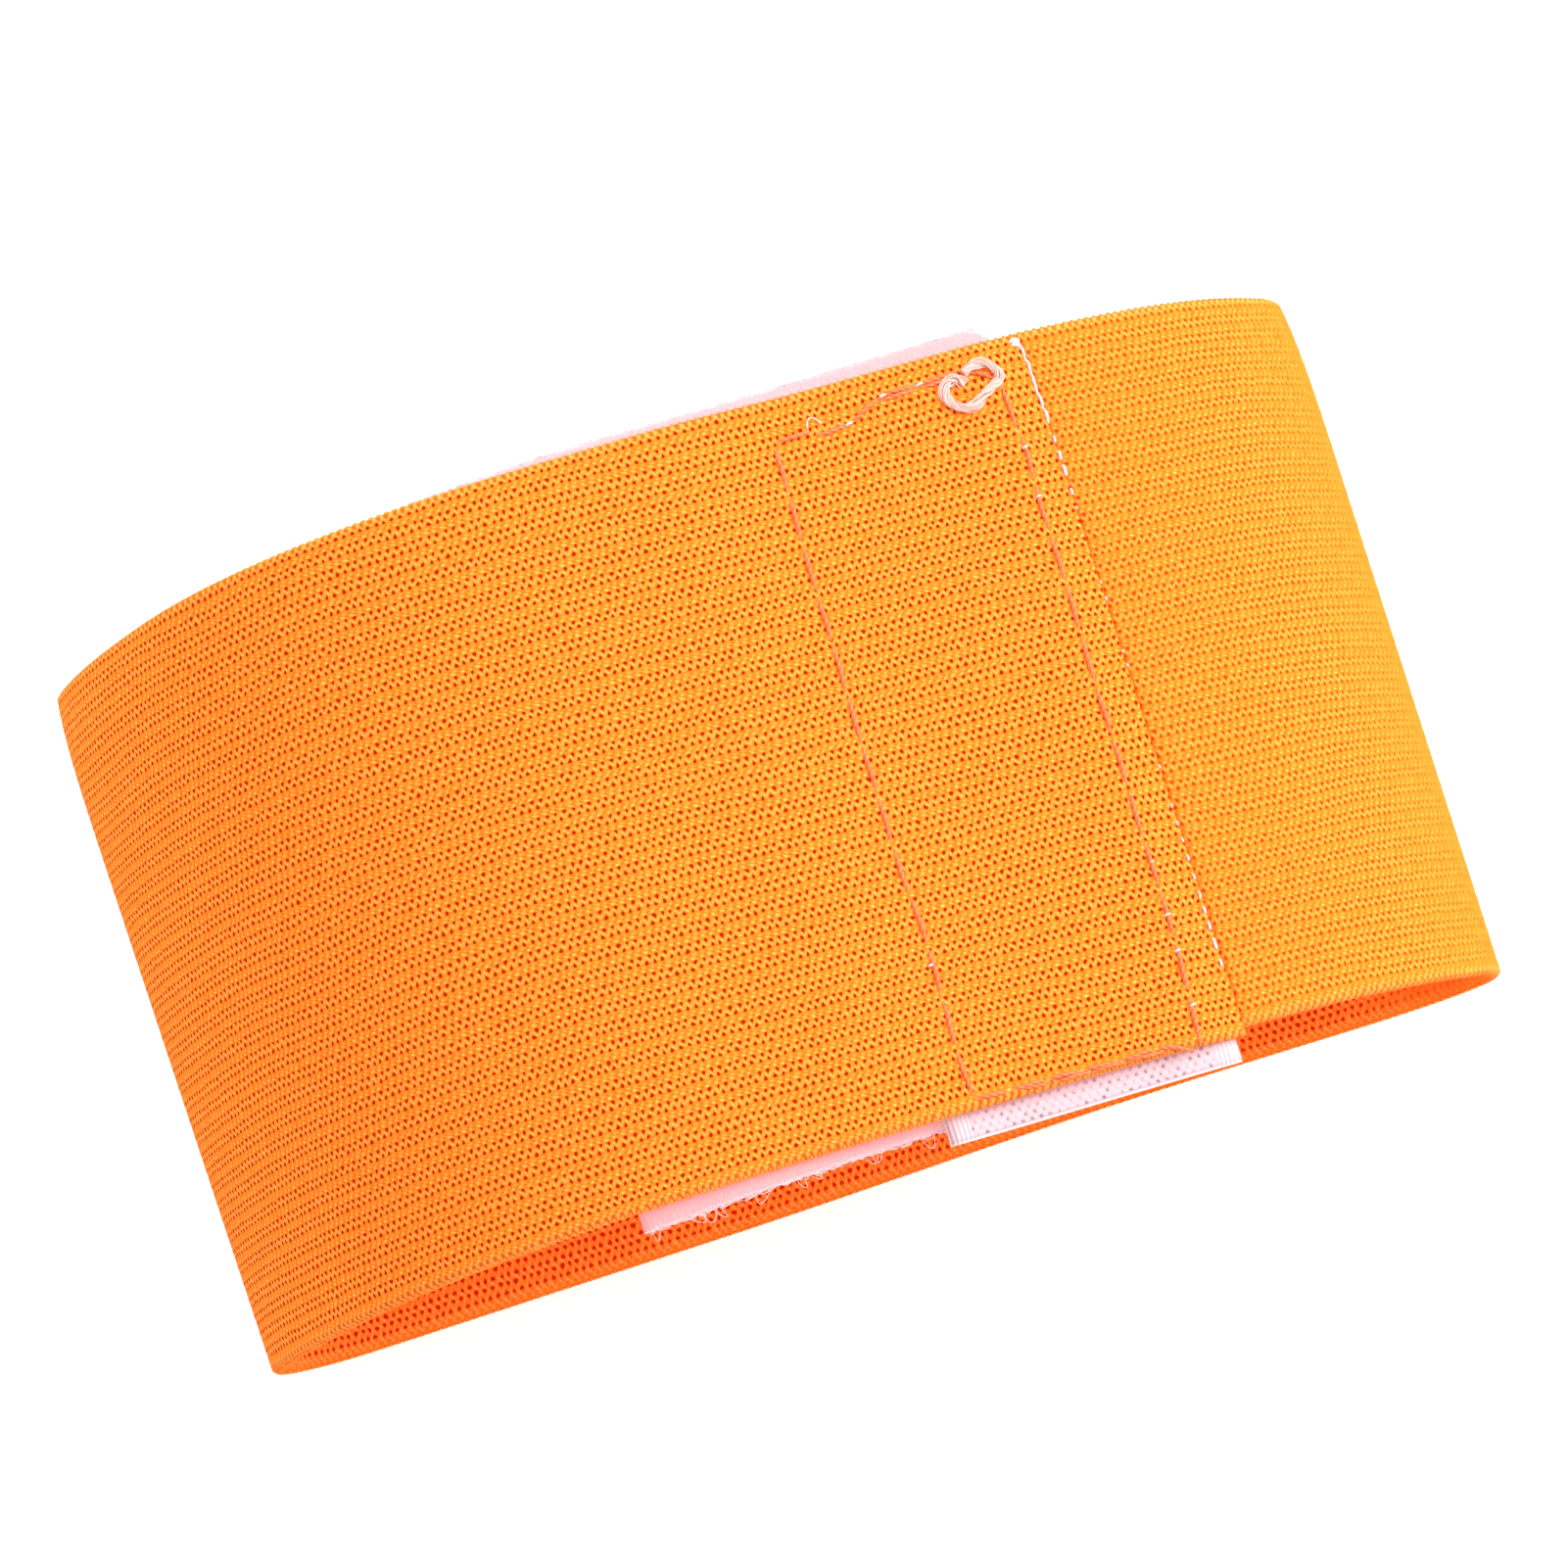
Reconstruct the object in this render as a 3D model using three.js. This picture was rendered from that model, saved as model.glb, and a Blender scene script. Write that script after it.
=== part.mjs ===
// Captain's armband: one knitted elastic strip wound once round and closed on itself by a hook tape
// and a loop tape. It lies on its back wall, with the closure on the arched front wall above.
// Millimetres. X runs across the loop, Y along its axis (the strip's width), +Z is up.
// The origin is on the table under the middle of the loop.
import * as THREE from 'three';

// The loop as it lies
const lying_width = 108.2;
const arch_height = 36;
const rim_spread = 0.012;

// The elastic strip
const band_width = 60;
const elastic_thickness = 1.2;
const layer_gap = 0.3;

// The closure: insets are measured along the strip from its outer end, overhangs are how much longer
// a tape is than the band is wide, and shifts move a tape along Y
const outer_end_x = 31;
const hook_tape_width = 25.4;
const hook_tape_thickness = 0.8;
const hook_tape_inset = 0.7;
const hook_tape_overhang = 2;
const hook_tape_shift = -1.1;
const loop_tape_width = 50.8;
const loop_tape_thickness = 0.8;
const loop_tape_inset = 1.6;
const loop_tape_overhang = 1.8;
const loop_tape_shift = 0.3;
const loop_tape_turn_deg = 2;
const inner_end_setback = 0.6;

// How the strip eases over and past the closure
const hook_ramp_length = 14;
const dive_lead = 2;
const settle_length = 12;
const inner_end_shift = -0.6;
const overlap_exit_shift = 0.5;
const straighten_length = 45;

// Fineness: the longest stretch of strip between two stations, and between points of the loop's curve
const station_step = 1.2;
const curve_step = 0.2;

// The loop's outer face beyond the flat back, from the back's right end over the front to its left end.
// across is a share of half the lying width, rise a share of the arch height.
const loop_profile = [
  { across: 0.8, rise: 0 },
  { across: 0.88, rise: 0.006 },
  { across: 0.945, rise: 0.026 },
  { across: 0.985, rise: 0.072 },
  { across: 1, rise: 0.145 },
  { across: 0.988, rise: 0.23 },
  { across: 0.952, rise: 0.315 },
  { across: 0.892, rise: 0.42 },
  { across: 0.822, rise: 0.511 },
  { across: 0.74, rise: 0.589 },
  { across: 0.63, rise: 0.661 },
  { across: 0.5, rise: 0.725 },
  { across: 0.37, rise: 0.775 },
  { across: 0.222, rise: 0.828 },
  { across: 0.093, rise: 0.886 },
  { across: -0.02, rise: 0.94 },
  { across: -0.15, rise: 0.982 },
  { across: -0.29, rise: 1 },
  { across: -0.43, rise: 0.985 },
  { across: -0.56, rise: 0.938 },
  { across: -0.68, rise: 0.856 },
  { across: -0.775, rise: 0.748 },
  { across: -0.853, rise: 0.616 },
  { across: -0.92, rise: 0.478 },
  { across: -0.968, rise: 0.352 },
  { across: -0.996, rise: 0.25 },
  { across: -0.998, rise: 0.17 },
  { across: -0.975, rise: 0.09 },
  { across: -0.93, rise: 0.033 },
  { across: -0.87, rise: 0.006 },
  { across: -0.8, rise: 0 },
];

const half_lying = lying_width / 2;
const half_band = band_width / 2;
const hook_tape_length = band_width + hook_tape_overhang;
const loop_tape_length = band_width + loop_tape_overhang;
const hook_lift = hook_tape_thickness + layer_gap;
const loop_tape_depth = elastic_thickness + layer_gap;
const inner_layer_depth = loop_tape_depth + loop_tape_thickness + layer_gap;
const settled_depth = loop_tape_depth - hook_lift;

// The outer face of a single layer, once round: from the middle of the back to the right, over the
// front to the left, and back along the table.
function loopOuterFace() {
  const placed = (row) => new THREE.Vector3(row.across * half_lying, 0, row.rise * arch_height);
  const rows = loop_profile.map(placed);
  const middle = new THREE.Vector3(0, 0, 0);
  const path = new THREE.CurvePath();
  path.add(new THREE.LineCurve3(middle, rows[0]));
  path.add(new THREE.CatmullRomCurve3(rows, false, 'centripetal'));
  path.add(new THREE.LineCurve3(rows[rows.length - 1], middle));
  return path;
}

// The same curve by distance: at gives the point at any distance, normal the face's outward direction,
// and frontDistance the place on the front wall with a given X.
function measuredLoop() {
  const path = loopOuterFace();
  const length = path.getLength();
  const count = Math.ceil(length / curve_step);
  const points = path.getSpacedPoints(count);
  const at = (distance) => {
    const turns = distance / length;
    const place = (turns - Math.floor(turns)) * count;
    const low = Math.floor(place);
    return points[low % count].clone().lerp(points[(low + 1) % count], place - low);
  };
  const normal = (distance) => {
    const along = at(distance + elastic_thickness / 2).sub(at(distance - elastic_thickness / 2)).normalize();
    return new THREE.Vector3(along.z, 0, -along.x);
  };
  const frontDistance = (x) => {
    let place = points.findIndex((point) => point.x === Math.max(...points.map((other) => other.x)));
    while (points[place + 1].x > x) {
      place += 1;
    }
    const share = (points[place].x - x) / (points[place].x - points[place + 1].x);
    return ((place + share) * length) / count;
  };
  return { length, at, normal, frontDistance };
}

const loop = measuredLoop();

// Distance along the strip runs from its outer end leftwards over the front, down the left tip, along
// the back, up the right tip and under the outer end again to the inner end.
const outer_end = loop.frontDistance(outer_end_x);
const hook_near = outer_end + hook_tape_inset;
const hook_far = hook_near + hook_tape_width;
const loop_near = outer_end + loop_tape_inset;
const loop_far = loop_near + loop_tape_width;
const overlap_length = loop_far - inner_end_setback - outer_end;
const under_outer_end = outer_end + loop.length;
const inner_end = under_outer_end + overlap_length;

// Height of the strip's outer face above the loop's curve. It climbs over the hook tape's far edge. Past
// the right tip it settles to just under its own outer end, then dives below the tapes.
function stripHeight(distance) {
  const ramp_top = hook_far + layer_gap;
  const over_hook = 1 - THREE.MathUtils.smoothstep(distance, ramp_top, ramp_top + hook_ramp_length);
  const dive_start = under_outer_end - dive_lead;
  const settled = THREE.MathUtils.smoothstep(distance, dive_start - settle_length, dive_start);
  const dived = THREE.MathUtils.smoothstep(distance, dive_start, under_outer_end + loop_tape_inset);
  const drop = settled * settled_depth + dived * (inner_layer_depth - settled_depth);
  return over_hook * hook_lift - drop;
}

// Place of the strip's middle line along Y: it slants a little under the closure and straightens after.
function stripShift(distance) {
  const before_end = under_outer_end - distance;
  if (before_end < 0) {
    return THREE.MathUtils.lerp(overlap_exit_shift, inner_end_shift, -before_end / overlap_length);
  }
  return overlap_exit_shift * Math.max(0, 1 - before_end / straighten_length);
}

// A flat strip bent along the loop, closed, of even thickness. spec gives for each distance the height
// of its outer face above the loop's curve and the two sideways edges.
function bentStrip(from, to, thickness, spec) {
  const count = Math.ceil((to - from) / station_step);
  const positions = [];
  const indices = [];
  const corner = (distance, height, y) => {
    const normal = loop.normal(distance);
    const place = loop.at(distance).addScaledVector(normal, height);
    positions.push(place.x * (1 + (rim_spread * y) / half_band), y, place.z);
  };
  for (let station = 0; station <= count; station += 1) {
    const distance = from + ((to - from) * station) / count;
    const { height, low, high } = spec(distance);
    corner(distance, height, low);
    corner(distance, height, high);
    corner(distance, height - thickness, high);
    corner(distance, height - thickness, low);
  }
  const quad = (a, b, c, d) => indices.push(a, c, b, a, d, c);
  for (let station = 0; station < count; station += 1) {
    const here = station * 4;
    const next = here + 4;
    for (let side = 0; side < 4; side += 1) {
      const other = (side + 1) % 4;
      quad(here + side, next + side, next + other, here + other);
    }
  }
  const last = count * 4;
  quad(0, 1, 2, 3);
  quad(last + 3, last + 2, last + 1, last);
  const geometry = new THREE.BufferGeometry();
  geometry.setAttribute('position', new THREE.Float32BufferAttribute(positions, 3));
  geometry.setIndex(indices);
  geometry.computeVertexNormals();
  return geometry;
}

function cloth(colour, roughness) {
  return new THREE.MeshStandardMaterial({ color: colour, roughness, metalness: 0 });
}

function named(name, geometry, material) {
  const mesh = new THREE.Mesh(geometry, material);
  mesh.name = name;
  return mesh;
}

// The knitted elastic: one strip from its outer end round to its inner end.
function elasticBand() {
  const geometry = bentStrip(outer_end, inner_end, elastic_thickness, (distance) => ({
    height: stripHeight(distance),
    low: stripShift(distance) - half_band,
    high: stripShift(distance) + half_band,
  }));
  return named('elastic_band', geometry, cloth(0xff9a38, 0.85));
}

// The hook tape, sewn to the inside of the strip's outer end. It stands proud of the lower edge.
function hookTape() {
  const geometry = bentStrip(hook_near, hook_far, hook_tape_thickness, () => ({
    height: hook_lift - loop_tape_depth,
    low: hook_tape_shift - hook_tape_length / 2,
    high: hook_tape_shift + hook_tape_length / 2,
  }));
  return named('hook_tape', geometry, cloth(0xf6e3e8, 0.7));
}

// The loop tape, sewn to the outside of the strip's inner end, turned a little against the band.
function loopTape() {
  const middle = (loop_near + loop_far) / 2;
  const slope = Math.tan(THREE.MathUtils.degToRad(loop_tape_turn_deg));
  const geometry = bentStrip(loop_near, loop_far, loop_tape_thickness, (distance) => {
    const centre = loop_tape_shift - slope * (distance - middle);
    return {
      height: -loop_tape_depth,
      low: centre - loop_tape_length / 2,
      high: centre + loop_tape_length / 2,
    };
  });
  return named('loop_tape', geometry, cloth(0xffc9cf, 0.9));
}

const closure = new THREE.Group();
closure.add(hookTape(), loopTape());

const armband = new THREE.Group();
armband.add(elasticBand(), closure);

export default armband;
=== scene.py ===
# Captain's armband: a strip of ribbed knitted elastic wound once round, closed by a hook tape and a
# loop tape, lying on its back wall. Metres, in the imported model's frame: +X across the loop, +Y along
# its axis, +Z up.
import math

import bpy
import numpy as np
from mathutils import Matrix, Vector


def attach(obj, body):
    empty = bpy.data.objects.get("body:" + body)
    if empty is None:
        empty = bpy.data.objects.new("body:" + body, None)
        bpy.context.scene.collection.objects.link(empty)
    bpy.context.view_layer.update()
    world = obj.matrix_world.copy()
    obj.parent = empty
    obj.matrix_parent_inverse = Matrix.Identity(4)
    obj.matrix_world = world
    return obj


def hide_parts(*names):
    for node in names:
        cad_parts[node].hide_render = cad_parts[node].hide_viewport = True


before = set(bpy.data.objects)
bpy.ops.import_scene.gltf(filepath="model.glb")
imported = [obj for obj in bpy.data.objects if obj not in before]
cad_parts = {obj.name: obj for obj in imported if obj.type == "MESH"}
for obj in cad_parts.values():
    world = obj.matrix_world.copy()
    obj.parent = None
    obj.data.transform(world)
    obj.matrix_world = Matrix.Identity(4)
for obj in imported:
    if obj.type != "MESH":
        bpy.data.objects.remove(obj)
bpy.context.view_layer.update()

mm = 0.001

# The view of the photograph: a long lens 0.55 m away, ten degrees off straight down towards the lower
# rim, and rolled so that the loop's axis leans to the left.
view_distance = 550 * mm
view_off_plumb = math.radians(10)
view_roll = math.radians(18.1)
view_target = Vector((1.8 * mm, 5.0 * mm, 1 * mm))
lens_in_photo_pixels = 6646
photo_width_in_pixels = 1601

forward = Vector((0, math.sin(view_off_plumb), -math.cos(view_off_plumb)))
level_up = Vector((0, math.cos(view_off_plumb), math.sin(view_off_plumb)))
camera_right = Vector((1, 0, 0)) * math.cos(view_roll) - level_up * math.sin(view_roll)
camera_up = Vector((1, 0, 0)) * math.sin(view_roll) + level_up * math.cos(view_roll)
camera = bpy.data.objects.new("camera", bpy.data.cameras.new("camera"))
camera.data.sensor_width = 36
camera.data.lens = lens_in_photo_pixels / photo_width_in_pixels * camera.data.sensor_width
camera.matrix_world = Matrix.Translation(view_target - forward * view_distance) @ (
    Matrix((camera_right, camera_up, -forward)).transposed().to_4x4()
)
bpy.context.scene.collection.objects.link(camera)
bpy.context.scene.camera = camera


# The table and the light: a white light table, an even white sky, a large soft lamp low on the right,
# which lights the right flank more than the left one, one overhead, and a small near one over the upper
# rim.
class Wire:
    """A shader value or vector. Operators on it add Math nodes; colours go through mix."""

    tree = None

    def __init__(self, socket):
        self.socket = socket

    @classmethod
    def node(cls, kind, settings=None, **inputs):
        """A node of the given type: settings first, then the values or wires of its sockets by name."""
        node = cls.tree.nodes.new(kind)
        for key, value in (settings or {}).items():
            setattr(node, key, value)
        for key, value in inputs.items():
            name = key.replace("_", " ").strip()
            socket = node.inputs[int(name)] if name.isdigit() else node.inputs[name]
            if isinstance(value, Wire):
                cls.tree.links.new(value.socket, socket)
            else:
                socket.default_value = value
        return node

    @classmethod
    def math(cls, operation, *values):
        numbered = {f"_{i}": value for i, value in enumerate(values)}
        return cls(cls.node("ShaderNodeMath", {"operation": operation}, **numbered).outputs[0])

    def __add__(self, other):
        return Wire.math("ADD", self, other)

    def __sub__(self, other):
        return Wire.math("SUBTRACT", self, other)

    def __rsub__(self, other):
        return Wire.math("SUBTRACT", other, self)

    def __mul__(self, other):
        return Wire.math("MULTIPLY", self, other)

    def __truediv__(self, other):
        return Wire.math("DIVIDE", self, other)

    __radd__ = __add__
    __rmul__ = __mul__

    def __abs__(self):
        return Wire.math("ABSOLUTE", self)

    def least(self, other):
        return Wire.math("MINIMUM", self, other)

    def most(self, other):
        return Wire.math("MAXIMUM", self, other)

    def part(self):
        """What is left above the whole number below."""
        return Wire.math("FRACT", self)

    def floor(self):
        return Wire.math("FLOOR", self)

    def wave(self):
        """The cosine of a count of turns."""
        return Wire.math("COSINE", self * (2 * math.pi))

    def rise(self, low, high):
        """0 below low, 1 above high, and an even smooth climb between them."""
        node = Wire.node(
            "ShaderNodeMapRange",
            {"interpolation_type": "SMOOTHSTEP"},
            Value=self, From_Min=low, From_Max=high,
        )
        return Wire(node.outputs[0])

    def hump(self, middle, reach):
        """1 at middle, falling smoothly to 0 a reach away on both sides."""
        return 1 - abs(self - middle).rise(0, reach)

    @classmethod
    def chance(cls, first, second=0.0, seed=0.0):
        """A steady random number for each pair of whole numbers."""
        place = cls.node("ShaderNodeCombineXYZ", None, X=first, Y=second, Z=seed)
        place = cls(place.outputs[0])
        noise = cls.node("ShaderNodeTexWhiteNoise", {"noise_dimensions": "3D"}, Vector=place)
        return cls(noise.outputs["Value"])

    @classmethod
    def place(cls):
        """The place on the piece, in metres."""
        return cls(cls.node("ShaderNodeTexCoord").outputs["Object"])

    @classmethod
    def cloud(cls, place, scale, detail=2.0):
        """Soft noise about 0.5 at a place."""
        noise = cls.node("ShaderNodeTexNoise", None, Vector=place, Scale=scale, Detail=detail)
        return cls(noise.outputs["Fac"])

    @classmethod
    def clouds(cls, place, scale):
        """Three unlike soft noises about 0.5 at a place, from one plain node."""
        noise = cls.node(
            "ShaderNodeTexNoise", {"noise_dimensions": "2D"}, Vector=place, Scale=scale, Detail=0.0
        )
        parts = cls.node("ShaderNodeSeparateXYZ", None, Vector=cls(noise.outputs["Color"]))
        return [cls(socket) for socket in parts.outputs]

    @classmethod
    def mix(cls, share, first, second):
        """Two colours mixed by a share."""
        node = cls.node("ShaderNodeMix", {"data_type": "RGBA"}, Factor=share)
        for socket, value in zip((node.inputs[6], node.inputs[7]), (first, second)):
            if isinstance(value, Wire):
                cls.tree.links.new(value.socket, socket)
            else:
                socket.default_value = (*value, 1)
        return cls(node.outputs[2])


def material(name, fill):
    """A new material: fill is called with its main shader node to set and link what it needs."""
    made = bpy.data.materials.new(name)
    made.use_nodes = True
    Wire.tree = made.node_tree
    fill(next(node for node in made.node_tree.nodes if node.type == "BSDF_PRINCIPLED"))
    return made


def feed(shader, **sockets):
    """Sets or links a shader's sockets by name."""
    for key, value in sockets.items():
        socket = shader.inputs[key.replace("_", " ")]
        if isinstance(value, Wire):
            Wire.tree.links.new(value.socket, socket)
        else:
            socket.default_value = value


def raised(height, distance, strength=1.0):
    """A bump of the given depth from a height between 0 and 1."""
    node = Wire.node("ShaderNodeBump", None, Height=height, Distance=distance, Strength=strength)
    return Wire(node.outputs[0])


table_half = 1.5
table_glow = 0.5
sky_strength = 0.69
table_mesh = bpy.data.meshes.new("table")
table_corners = [(x * table_half, y * table_half, 0) for x, y in ((-1, -1), (1, -1), (1, 1), (-1, 1))]
table_mesh.from_pydata(table_corners, [], [(0, 1, 2, 3)])
table = bpy.data.objects.new("table", table_mesh)
bpy.context.scene.collection.objects.link(table)


def table_paint(shader):
    """A lit white table with the faintest cloud in it."""
    speck = Wire.cloud(Wire.place(), 400.0)
    feed(
        shader,
        Base_Color=Wire.mix(speck, (0.86, 0.86, 0.86), (0.9, 0.9, 0.9)),
        Roughness=0.9,
        Specular_IOR_Level=0.1,
        Emission_Color=Wire.mix(speck, (0.98, 0.98, 0.98), (1.0, 1.0, 1.0)),
        Emission_Strength=table_glow,
    )


table_mesh.materials.append(material("white_table", table_paint))

world = bpy.data.worlds.new("white_sky")
world.use_nodes = True
world.node_tree.nodes["Background"].inputs["Color"].default_value = (1, 1, 1, 1)
world.node_tree.nodes["Background"].inputs["Strength"].default_value = sky_strength
bpy.context.scene.world = world

# name, place and size in metres, power in watts
lamps = [
    ("right_lamp", Vector((1.0, 0.2, 0.64)), 0.8, 19),
    ("upper_lamp", Vector((0.1, 0.05, 1.0)), 0.6, 1.8),
    ("rim_lamp", Vector((-0.12, 0.16, 0.14)), 0.1, 0.19),
]
for lamp_name, lamp_place, lamp_size, lamp_energy in lamps:
    lamp = bpy.data.objects.new(lamp_name, bpy.data.lights.new(lamp_name, "AREA"))
    lamp.data.size = lamp_size
    lamp.data.energy = lamp_energy
    lamp.location = lamp_place
    lamp.rotation_euler = (-lamp_place).to_track_quat("-Z", "Y").to_euler()
    bpy.context.scene.collection.objects.link(lamp)
bpy.context.scene.view_settings.view_transform = "Standard"


# The elastic: one strip of rib-knitted elastic, 60 mm wide and 1.2 mm thick, that starts under its own
# outer end, goes once round and laps over the closure. Its bent form is worked out from the loop's
# curve, and the knit is laid on by two numbers kept in the mesh: stitches along, ribs across.
half_lying = 54.1 * mm
arch_height = 36 * mm
rim_spread = 0.012
corner_tuck = 0.011
half_band = 30 * mm
elastic_thickness = 1.2 * mm
layer_gap = 0.3 * mm
tape_thickness = 0.8 * mm
outer_end_x = 31 * mm
hook_inset = 0.7 * mm
hook_width = 25.4 * mm
loop_inset = 1.6 * mm
loop_width = 50.8 * mm
inner_end_setback = 0.6 * mm
hook_ramp = 14 * mm
dive_lead = 0.4 * mm
end_press = 0.6 * mm
end_press_length = 4 * mm
end_thinned = 0.5 * mm
end_thinned_length = 2.5 * mm
inner_end_shift = -0.6 * mm
overlap_exit_shift = 0.5 * mm
straighten_length = 45 * mm
stitch_pitch = 0.69 * mm
rib_pitch = 1.446 * mm
station_step = 2.2 * mm
station_turn = math.radians(6)

# across as a share of half the lying width, rise as a share of the arch height: from the flat back's
# right end over the front to its left end
loop_profile = np.array(
    [
        (0.8, 0), (0.88, 0.006), (0.945, 0.026), (0.985, 0.072), (1, 0.145), (0.988, 0.23),
        (0.952, 0.315), (0.892, 0.42), (0.822, 0.511), (0.74, 0.589), (0.63, 0.661), (0.5, 0.725),
        (0.37, 0.775), (0.222, 0.828), (0.093, 0.886), (-0.02, 0.94), (-0.15, 0.982), (-0.29, 1),
        (-0.43, 0.985), (-0.56, 0.938), (-0.68, 0.856), (-0.775, 0.748), (-0.853, 0.616),
        (-0.92, 0.478), (-0.968, 0.352), (-0.996, 0.25), (-0.998, 0.17), (-0.975, 0.09),
        (-0.93, 0.033), (-0.87, 0.006), (-0.8, 0),
    ]
) * (half_lying, arch_height)


def through(rows, per_span):
    """A smooth curve through rows of points: between two of them, the cubic whose slopes at its ends are
    those of a centripetal Catmull-Rom spline, with the end points' neighbours mirrored."""
    rows = np.vstack([2 * rows[0] - rows[1], rows, 2 * rows[-1] - rows[-2]])
    steps = np.sqrt(np.linalg.norm(np.diff(rows, axis=0), axis=1))[:, None]
    before, here, after = steps[:-2], steps[1:-1], steps[2:]
    p0, p1, p2, p3 = rows[:-3], rows[1:-2], rows[2:-1], rows[3:]
    slope_1 = here * ((p1 - p0) / before - (p2 - p0) / (before + here) + (p2 - p1) / here)
    slope_2 = here * ((p2 - p1) / here - (p3 - p1) / (here + after) + (p3 - p2) / after)
    t = np.linspace(0, 1, per_span, endpoint=False)[None, :, None]
    p1, p2, slope_1, slope_2 = (a[:, None, :] for a in (p1, p2, slope_1, slope_2))
    curve = (
        (2 * t**3 - 3 * t**2 + 1) * p1
        + (t**3 - 2 * t**2 + t) * slope_1
        + (3 * t**2 - 2 * t**3) * p2
        + (t**3 - t**2) * slope_2
    )
    return np.vstack([curve.reshape(-1, rows.shape[1]), rows[-2]])


def reached(rows):
    """How far along a row of points each of them lies: the running sum of the steps between them."""
    return np.concatenate([[0], np.cumsum(np.linalg.norm(np.diff(rows, axis=0), axis=1))])


arch = through(loop_profile, 24)
loop_points = np.vstack([[0, 0], arch, [0, 0]])
loop_reach = reached(loop_points)
loop_length = loop_reach[-1]
# X only falls from the right tip to the left one
falling = slice(arch[:, 0].argmax(), arch[:, 0].argmin())
outer_end = np.interp(-outer_end_x, -arch[falling, 0], loop_reach[1:-1][falling])
hook_near = outer_end + hook_inset
hook_far = hook_near + hook_width
loop_near = outer_end + loop_inset
loop_far = loop_near + loop_width
under_outer_end = outer_end + loop_length
inner_end = under_outer_end + loop_far - inner_end_setback - outer_end
hook_lift = tape_thickness + layer_gap
loop_depth = elastic_thickness + layer_gap
inner_depth = loop_depth + tape_thickness + layer_gap


def loop_at(distance):
    """The point of the loop's curve at a distance from the middle of its back, going round and round."""
    turned = np.mod(distance, loop_length)
    return np.stack([np.interp(turned, loop_reach, loop_points[:, i]) for i in (0, 1)], axis=-1)


def on_strip(distance, height, across):
    """Points at a distance along the loop's curve, a height outwards from it, and a place across the
    band. X grows evenly towards the upper rim, by rim_spread at its edge, where the last few
    millimetres are drawn in again, by corner_tuck times the eighth power of the place."""
    distance, height, across = np.broadcast_arrays(distance, height, across)
    ahead = loop_at(distance + elastic_thickness / 2) - loop_at(distance - elastic_thickness / 2)
    ahead /= np.linalg.norm(ahead, axis=-1, keepdims=True)
    flat = loop_at(distance) + height[..., None] * np.stack([ahead[..., 1], -ahead[..., 0]], axis=-1)
    upwards = across / half_band
    spread = 1 + rim_spread * upwards - corner_tuck * np.clip(upwards, 0, 1) ** 8
    return np.stack([flat[..., 0] * spread, across, flat[..., 1]], axis=-1)


def smooth(value, low, high):
    """0 below low, 1 above high, 3t^2 - 2t^3 between."""
    t = np.clip((value - low) / (high - low), 0, 1)
    return t * t * (3 - 2 * t)


def strip_height(distance):
    """Height of the strip's outer face: pressed down at the sewn outer end, up over the hook tape, then
    level until it dives under its own outer end and below the tapes."""
    pressed = end_press * (1 - smooth(distance - outer_end, 0, end_press_length))
    ramp_top = hook_far + layer_gap
    over_hook = 1 - smooth(distance, ramp_top, ramp_top + hook_ramp)
    dived = smooth(distance, under_outer_end - dive_lead, under_outer_end + loop_inset)
    return over_hook * hook_lift - pressed - dived * inner_depth


def strip_thickness(distance):
    """The elastic is squeezed thinner by the stitches at its outer end."""
    squeezed = 1 - smooth(distance - outer_end, 0, end_thinned_length)
    return elastic_thickness - end_thinned * squeezed


def strip_shift(distance):
    """Place of the strip's middle line across the loop: it slants under the closure, then straightens."""
    before_end = under_outer_end - distance
    overlap = inner_end - under_outer_end
    slanted = overlap_exit_shift - (overlap_exit_shift - inner_end_shift) * (-before_end / overlap)
    eased = overlap_exit_shift * np.maximum(0, 1 - before_end / straighten_length)
    return np.where(before_end < 0, slanted, eased)


def stations(start, stop, longest, turn):
    """Distances from start to stop, closer where the curve bends: a step is at most longest, and the
    curve turns by about turn in it."""
    fine = np.linspace(start, stop, 3000)
    ahead = loop_at(fine + mm) - loop_at(fine - mm)
    angle = np.unwrap(np.arctan2(ahead[:, 1], ahead[:, 0]))
    load = (fine - start) / longest + np.abs(np.concatenate([[0], np.cumsum(np.diff(angle))])) / turn
    load = np.maximum.accumulate(load)
    return np.interp(np.linspace(0, load[-1], int(load[-1]) + 2), load, fine)


def grid_faces(rows, columns):
    """Quads of a grid of points numbered row by row, wrapped round from its last column to its first."""
    row, column = np.meshgrid(np.arange(rows - 1), np.arange(columns), indexing="ij")
    beside = (column + 1) % columns
    quads = [row * columns + column, row * columns + beside]
    quads += [(row + 1) * columns + beside, (row + 1) * columns + column]
    return np.stack(quads, axis=-1).reshape(-1, 4)


def piece(name, slot, made, *parts):
    """A mesh object at the origin, joined from parts of points, faces, and the vectors kept at the
    points for its material to read. It rides on the one body. Its slot is not used."""
    mesh = bpy.data.meshes.new(name)
    points, faces, marks = [], [], []
    for part_points, part_faces, part_marks in parts:
        first = sum(len(block) for block in points)
        points.append(part_points.reshape(-1, 3))
        marks.append(part_marks.reshape(-1, 3))
        faces += [[first + corner for corner in face] for face in part_faces]
    mesh.from_pydata(np.concatenate(points), [], faces)
    mesh.shade_smooth()
    layer = mesh.attributes.new("strip", "FLOAT_VECTOR", "POINT")
    layer.data.foreach_set("vector", np.concatenate(marks).astype(np.float32).ravel())
    mesh.materials.append(made)
    mesh.update()
    new = bpy.data.objects.new(name, mesh)
    bpy.context.scene.collection.objects.link(new)
    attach(new, "root")
    return new


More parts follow.
